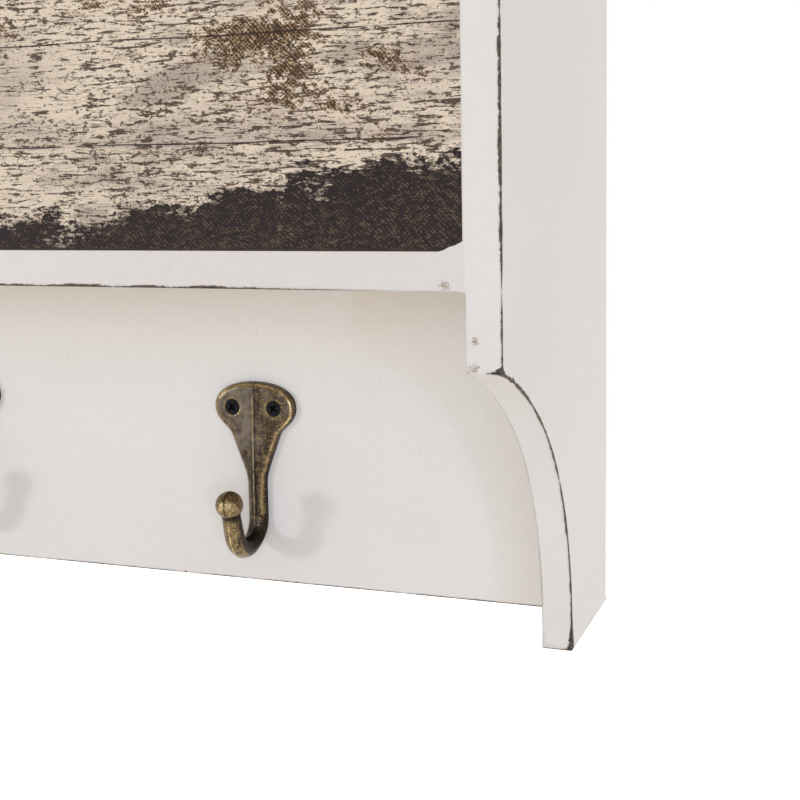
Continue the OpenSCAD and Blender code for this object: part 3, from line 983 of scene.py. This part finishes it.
def width_points(w):
    """Half the places across a ring: close together on the bevel, then in to the middle."""
    b = min(RIM_W, w / 2)
    bevel = [w - b * (i / BEVEL_STEPS) ** 1.5 for i in range(BEVEL_STEPS + 1)]
    return bevel + [(w - b) * (1 - i / FACE_STEPS) ** 1.6 for i in range(1, FACE_STEPS + 1)]


def plate_front(drop):
    return [(x, face_t(x, drop)) for x in width_points(half_w(drop))]


def plate_back(drop):
    return [(x, 0.0) for x in width_points(half_w(drop))]


def arm_line(half, thick, up):
    line = []
    for i in range(HALF_COUNT):
        turn = math.radians(mix(2.5, 90, (i / (HALF_COUNT - 1)) ** 0.85))
        x = half * math.cos(turn)
        line.append((x, thick / 2 * (1 + up * math.sin(turn)) + up * seam(x)))
    return line


def whole_ring(front, back):
    left = [(-x, t) for x, t in front]
    return left + front[-2::-1] + back + [(-x, t) for x, t in back[-2::-1]]


def placed(ring, at, up):
    return [(x, at[0] + t * up[0], at[1] + t * up[1]) for x, t in ring]


def plate_ring(drop):
    return placed(whole_ring(plate_front(drop), plate_back(drop)), (0, -drop), (1, 0))


BEND_AT = (STEM_T / 2 + BEND_R, -BEND_DROP)
ARM_WAY = (math.sin(ARM_TURN), -math.cos(ARM_TURN))
ARM_IN = (math.cos(ARM_TURN), math.sin(ARM_TURN))
BALL_AT = tuple(BEND_AT[i] - BEND_R * ARM_IN[i] + ARM_LEN * ARM_WAY[i] for i in range(2))
NECK_AT = math.sqrt(BALL_R**2 - (NECK_HALF_W * 0.5 + NECK_T * 0.25) ** 2)


def bar_ring(turn, along):
    rounding = ease(turn / ROUND_TURN)
    neck = along / ARM_LEN
    thick = mix(mix(STEM_T, ARM_T, rounding), NECK_T, neck)
    half = mix(STEM_HALF_W, NECK_HALF_W, neck)
    inward = (math.cos(turn), math.sin(turn))

    def between(flat, round_line):
        return [(mix(a[0], b[0], rounding), mix(a[1], b[1], rounding)) for a, b in zip(flat, round_line)]

    front = between(plate_front(BEND_DROP), arm_line(half, thick, 1))
    back = between(plate_back(BEND_DROP), arm_line(half, thick, -1))
    foot = BEND_R + thick / 2
    at = tuple(BEND_AT[i] - foot * inward[i] + along * ARM_WAY[i] for i in range(2))
    return placed(whole_ring(front, back), at, inward)


def ball_ring(turn):
    """A ring of the ball, at an angle from its neck end to its pole."""
    radius = BALL_R * math.sin(turn)
    along = -BALL_R * math.cos(turn)
    centre = [BALL_AT[i] + along * ARM_WAY[i] - radius * ARM_IN[i] for i in range(2)]
    lines = []
    for up in (1, -1):
        line = []
        for x, t in arm_line(1.0, 2.0, up):
            bulge = radius / BALL_R * 0.9 * up * seam(x * BALL_R)
            line.append((x * radius, (t - up * seam(x)) * radius + bulge))
        lines.append(line)
    return placed(whole_ring(*lines), centre, ARM_IN)


def hook_rings():
    """Every ring of the loft, with how bright and how dark each of its points is, painted highlights and
    shade among them.
    """
    rings = []

    def plate_marks(drop, ring):
        marks = []
        low = ease((drop - 2) / (LOBE_DROP + 2))
        for x, out, _ in ring:
            bright, dirt_and_shade = 0.12 if x > 0 else 0.0, 0.55 if out < EDGE_T + 0.35 else 0.0
            if out > 0.3:
                # The rim is rubbed bright, and brighter near the top where its bevel catches the light:
                # partly a painted highlight
                rim = mix(0.80, 0.50, low) * bell(inset_of(abs(x), drop) - 0.85, 0.55)
                ridge = 0.80 * bell(x, 0.15) * ease((drop + PLATE_TOP - 3.0) / 2)
                # Darker beside the parting line, with painted shade added on its right side
                beside = (0.30 if x < 0 else 0.65) * bell(x - math.copysign(0.62, x), 0.34)
                bright, dirt_and_shade = max(rim, ridge, bright), max(dirt_and_shade, beside)
            marks.append((bright, dirt_and_shade))
        return marks

    for i in range(CROWN_RINGS):
        t = i / CROWN_RINGS
        drop = -PLATE_TOP * (1 - mix(CROWN_START, 1.0, t**CROWN_EASE))
        ring = plate_ring(drop)
        rings.append((ring, plate_marks(drop, ring)))
    drops = [LOBE_DROP * i / LOBE_RINGS for i in range(LOBE_RINGS)]
    drops += [mix(LOBE_DROP, STEM_DROP + 2, i / TAPER_RINGS) for i in range(TAPER_RINGS)]
    drops += [mix(STEM_DROP + 2, BEND_DROP, i / STEM_RINGS) for i in range(STEM_RINGS)]
    for drop in drops:
        ring = plate_ring(drop)
        rings.append((ring, plate_marks(drop, ring)))

    def bar_marks(rounding, neck, turn):
        marks = []
        half = HALF_COUNT - 1
        crease = 0.9 * bell(neck - 1, 0.12)
        for on_front in (True, False):
            for place in range(2 * half + 1):
                side = abs(place - half) / half
                line = 0.85 * bell(side, 0.06)
                inner, wide = 0.0, 0.30 + 0.08 * rounding
                if on_front:
                    line *= 1 - 0.8 * math.sin(min(turn, math.pi / 2))
                    inner, wide = 0.75 * math.sin(min(math.pi, turn * 1.05)), 0.18
                marks.append((max(line * (1 - crease), wide * (1 - side**2)), max(inner, crease)))
        return marks

    for i in range(BEND_RINGS):
        turn = ARM_TURN * i / BEND_RINGS
        rings.append((bar_ring(turn, 0.0), bar_marks(ease(turn / ROUND_TURN), 0.0, turn)))
    neck_end = ARM_LEN - NECK_AT
    for i in range(ARM_RINGS + 1):
        along = neck_end * i / ARM_RINGS
        rings.append((bar_ring(ARM_TURN, along), bar_marks(1.0, along / neck_end, ARM_TURN)))
    first = math.acos(NECK_AT / BALL_R)
    for i in range(BALL_RINGS + 1):
        turn = mix(first, POLE_TURN, i / BALL_RINGS)
        glow = 0.385 - 0.25 * bell(i, 2.2)
        dirt_and_shade = 0.85 * bell(i, 1.5)
        ring = ball_ring(turn)
        marks = []
        for x, out, z in ring:
            # A painted highlight across the front of the ball at mid height, and painted shadow just right
            # of its parting line
            front = max(0.0, (out - BALL_AT[0]) / BALL_R)
            rubbed = 0.27 * front * bell(z - BALL_AT[1] - 0.6, 0.40 * BALL_R)
            marks.append((glow + rubbed, max(dirt_and_shade, 0.6 * bell(x - 0.25, 0.22))))
        rings.append((ring, marks))
    return rings


SCREW_GAP = 15.6
SCREW_SEAT = RIM_T + 0.3
HEAD_R = 2.75
HEAD_H = 1.6
SHANK_R = 1.5
SEAT_PLAY = 0.12
BORE_PLAY = 0.2
TURNED_STEPS = 48


def turned(name, profile, steps=TURNED_STEPS):
    """A solid turned about the Y axis from (radius, y) points, from axis to axis."""
    points = [(0, profile[0][1], 0)]
    for radius, y in profile[1:-1]:
        for k in range(steps):
            turn = 2 * math.pi * k / steps
            points.append((radius * math.cos(turn), y, radius * math.sin(turn)))
    points.append((0, profile[-1][1], 0))
    rows = len(profile) - 2
    faces = [(0, 1 + (k + 1) % steps, 1 + k) for k in range(steps)]
    for i in range(rows - 1):
        for k in range(steps):
            a, b = 1 + i * steps + k, 1 + i * steps + (k + 1) % steps
            faces.append((a, b, b + steps, a + steps))
    last, start = len(points) - 1, 1 + (rows - 1) * steps
    faces += [(last, start + k, start + (k + 1) % steps) for k in range(steps)]
    made = make_object(name, points, faces)
    fix_normals(made.data)
    return made


def seat_cutter(x):
    """The countersunk hole of one screw, pointing into the board."""
    rim, bore, end = HEAD_R + SEAT_PLAY, SHANK_R + BORE_PLAY, SCREW_SEAT + 1
    profile = [(0, -3.0), (rim + 0.25, -3.0), (rim + 0.25, -0.12), (rim, 0.02), (bore, HEAD_H)]
    cutter = turned("cutter", profile + [(bore, end), (0, end)])
    return moved(cutter, x, -SCREW_SEAT, 0)


def make_hook(name, node, material):
    rings = [([(x, -out, z) for x, out, z in ring], marks) for ring, marks in hook_rings()]
    tree = KDTree(sum(len(ring) for ring, _ in rings))
    marks = []
    for ring, ring_marks in rings:
        for point, mark in zip(ring, ring_marks):
            tree.insert(Vector(point), len(marks))
            marks.append(mark)
    tree.balance()
    blank = lofted(name, [ring for ring, _ in rings])
    hook = cut(blank, [seat_cutter(side * SCREW_GAP / 2) for side in (-1, 1)], 50)
    shine, grime = [], []
    for vert in hook.data.vertices:
        at = vert.co / MM
        bright, dirt_and_shade = marks[tree.find(at)[1]]
        from_screw = math.hypot(abs(at.x) - SCREW_GAP / 2, at.z)
        if at.z > -4:
            if -at.y > RIM_T - 0.4:
                bright = max(bright, 0.62 * bell(from_screw - HEAD_R - SEAT_PLAY - 0.2, 0.3))
            if from_screw < HEAD_R:
                dirt_and_shade = 1.0
        shine.append(bright)
        grime.append(dirt_and_shade)
    low, high = box_mm(node)
    middle, screw_line = (low.x + high.x) / 2, high.z - PLATE_TOP
    moved(hook, middle, high.y, screw_line)
    set_attribute(hook.data, "shine", shine)
    set_attribute(hook.data, "grime", grime)
    dress(hook, material, "antique_brass", node)
    return Vector((middle, high.y - SCREW_SEAT, screw_line))


# Screws: one countersunk screw with a cross recess, set out by Geometry Nodes
RECESS_ARM = 1.62
RECESS_W = 0.42
RECESS_DEPTH = 1.25
RECESS_TAPER = 0.42
TIP_LEN = 2.2
TURN_SPREAD = 0.5


def cross_cutter():
    arm, w = RECESS_ARM, RECESS_W
    outline = [(w, w), (w, arm), (-w, arm), (-w, w), (-arm, w), (-arm, -w)]
    outline += [(-w, -w), (-w, -arm), (w, -arm), (w, -w), (arm, -w), (arm, w)]
    levels = [(-0.3, 1.08), (RECESS_DEPTH, RECESS_TAPER)]
    return lofted("cutter", [[(u * size, y, v * size) for u, v in outline] for y, size in levels])


def make_screw(name, length):
    """One screw with the top of its head at the origin, pointing along +Y."""
    profile = [(0, 0.0), (1.9, 0.0), (2.45, 0.03), (HEAD_R - 0.06, 0.10), (HEAD_R, 0.24)]
    profile += [(HEAD_R - 0.03, 0.34), (SHANK_R + 0.1, HEAD_H - 0.06), (SHANK_R, HEAD_H + 0.3)]
    profile += [(SHANK_R, length - TIP_LEN), (0.3, length - 0.1), (0, length)]
    return cut(turned(name, profile, 40), [cross_cutter()], 30)


def screw_layout():
    """The node tree that sets a screw on each point, each turned by chance about its shank."""
    tree = bpy.data.node_groups.new("screws_on_points", "GeometryNodeTree")
    sockets = {}
    for name, kind in (
        ("Points", "NodeSocketGeometry"),
        ("Screw", "NodeSocketObject"),
        ("Facing", "NodeSocketFloat"),
        ("Turn", "NodeSocketFloat"),
        ("Turn spread", "NodeSocketFloat"),
        ("Seed", "NodeSocketInt"),
        ("Finish", "NodeSocketMaterial"),
    ):
        sockets[name] = tree.interface.new_socket(name, in_out="INPUT", socket_type=kind).identifier
    tree.interface.new_socket("Screws", in_out="OUTPUT", socket_type="NodeSocketGeometry")
    n = Nodes(tree)

    def fed(kind, inputs, **settings):
        node = n.add(kind, **settings)
        for name, value in inputs.items():
            n.set(node.inputs[name], value)
        return node.outputs

    given = n.add("NodeGroupInput").outputs
    source = fed("GeometryNodeObjectInfo", {"Object": given["Screw"]})
    chance = fed("FunctionNodeRandomValue", {"Seed": given["Seed"]}, data_type="FLOAT")
    turn = n.math("MULTIPLY_ADD", chance[1], given["Turn spread"], given["Turn"])
    facing = fed("ShaderNodeCombineXYZ", {"Y": turn, "Z": given["Facing"]})
    places = {"Points": given["Points"], "Instance": source["Geometry"], "Rotation": facing[0]}
    set_out = fed("GeometryNodeInstanceOnPoints", places)
    solid = fed("GeometryNodeRealizeInstances", {"Geometry": set_out[0]})
    coated = fed("GeometryNodeSetMaterial", {"Geometry": solid[0], "Material": given["Finish"]})
    n.add("NodeGroupOutput", coated[0])
    return tree, sockets


def set_screws(name, points, screw, layout, facing, turn, seed, material):
    tree, sockets = layout
    holder = make_object(name + "_points", points, [])
    modifier = holder.modifiers.new("screws", "NODES")
    modifier.node_group = tree
    values = {"Screw": screw, "Facing": facing, "Turn": turn, "Turn spread": TURN_SPREAD}
    values.update({"Seed": seed, "Finish": material})
    for socket, value in values.items():
        modifier[sockets[socket]] = value
    return plain_copy(holder, name, 30)


def make_screws(heads, black, zinc):
    layout = screw_layout()
    low, high = box_mm("hook_screws_right")
    hook_screw = make_screw("hook_screw", high.y - low.y)
    for index, (side, at) in enumerate(heads.items()):
        points = [(at.x + turn * SCREW_GAP / 2, at.y, at.z) for turn in (-1, 1)]
        name = f"screws_of_hook_{side}"
        screws = set_screws(name, points, hook_screw, layout, 0.0, 0.55, 11 + index, black)
        dress(screws, black, "black_steel", f"hook_screws_{side}")
    low, high = box_mm("plate_screws_right")
    plate_screw = make_screw("plate_screw", high.y - low.y)
    for index, side in enumerate(("left", "right")):
        low, high = box_mm(f"plate_screws_{side}")
        middle = (low.x + high.x) / 2
        points = [(middle, high.y, z) for z in (low.z + HEAD_R, high.z - HEAD_R)]
        name = f"screws_of_plate_{side}"
        screws = set_screws(name, points, plate_screw, layout, math.pi, 0.2, 21 + index, zinc)
        dress(screws, zinc, "zinc", f"plate_screws_{side}")
    for screw in (hook_screw, plate_screw):
        bpy.data.objects.remove(screw)


def dress_frame_nodes(wood):
    """The frame's own nodes that stay, with their finish."""
    for node in ("panel_batten_bottom", "panel_batten_top", "dowels_left", "dowels_right"):
        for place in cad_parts[node].material_slots:
            place.material = wood


# Light: a small lamp on the left and a smaller one on the right cast the two faint shadows, a
# wide one stands behind the camera, one grazes the wall from the right, and the room is warm.
# The last two are narrow and light the left side, the top and the back, which the photograph
# doesn't show
LIGHT_TARGET = Vector((150, -10, -60))
LIGHTS = [
    # name, azimuth from straight ahead in degrees, height in degrees, distance, size, watts, spread
    ("key", -45, 6.5, 4000, 560, (23.0, 27.0, 31.5), 180),
    ("fill", 34, 4, 4000, 190, (4.8, 6.6, 12.5), 180),
    ("front", 22, 8, 3000, 1900, (17.5, 21.3, 25.0), 180),
    ("side", 102, 5, 3000, 2400, (18.1, 23.8, 29.3), 180),
    ("left_rear", -118, 20, 3000, 600, (1.7, 2.4, 3.1), 60),
    ("rear", -170, 38, 3000, 600, (1.9, 2.65, 3.4), 60),
]
AMBIENT = (0.42, 0.30, 0.175)
FLOOR_Z = -1100.0
FLOOR_HALF = 4000.0


def make_lights():
    for name, azimuth, height, distance, size, watts, spread in LIGHTS:
        data = bpy.data.lights.new(name, "AREA")
        data.shape = "DISK"
        data.size = size * MM
        data.spread = math.radians(spread)
        data.energy = max(watts)
        data.color = [share / max(watts) for share in watts]
        lamp = bpy.data.objects.new(name, data)
        a, h = math.radians(azimuth), math.radians(height)
        way = Vector((math.sin(a) * math.cos(h), -math.cos(a) * math.cos(h), math.sin(h)))
        lamp.location = (LIGHT_TARGET + way * distance) * MM
        lamp.rotation_euler = way.to_track_quat("Z", "Y").to_euler()
        scene.collection.objects.link(lamp)


def make_surroundings():
    """A warm ambient light, and white where the camera, a gloss or a clear piece sees past the
    object, on the world and on the floor."""
    scene.world = bpy.data.worlds.new("studio")
    scene.world.use_nodes = True
    world = Nodes(scene.world.node_tree)
    ambient = world.add("ShaderNodeBackground", (*AMBIENT, 1))
    white = world.add("ShaderNodeBackground", (1, 1, 1, 1))
    choice = world.add("ShaderNodeMixShader", world.seen_directly(), ambient.outputs[0], white.outputs[0])
    world.add("ShaderNodeOutputWorld", choice.outputs[0])

    corners = [(u * FLOOR_HALF, v * FLOOR_HALF, FLOOR_Z) for u, v in ((-1, -1), (1, -1), (1, 1), (-1, 1))]
    floor = make_object("floor", corners, [(0, 1, 2, 3)])
    pale = bpy.data.materials.new("pale_floor")
    pale.use_nodes = True
    nodes = Nodes(pale.node_tree)
    shader = nodes.add("ShaderNodeBsdfPrincipled")
    glow = {"Emission Color": (1, 1, 1, 1), "Emission Strength": nodes.seen_directly()}
    for name, value in {"Base Color": (0.92, 0.92, 0.92, 1), "Roughness": 0.9, **glow}.items():
        nodes.set(shader.inputs[name], value)
    nodes.add("ShaderNodeOutputMaterial", shader.outputs[0])
    floor.data.materials.append(pale)


def main():
    scene.view_settings.view_transform = "Standard"
    make_camera()
    make_lights()
    make_surroundings()
    brass = antique_brass()
    zinc = zinc_plate()
    make_boards(worn_paint())
    make_print_sheet(printed_planks())
    heads = {}
    for side in ("left", "middle", "right"):
        heads[side] = make_hook(f"cast_hook_{side}", f"hook_{side}", brass)
    make_screws(heads, black_steel(), zinc)
    for side in ("left", "right"):
        make_hanging_plate(side, zinc)
    dress_frame_nodes(raw_wood())


main()
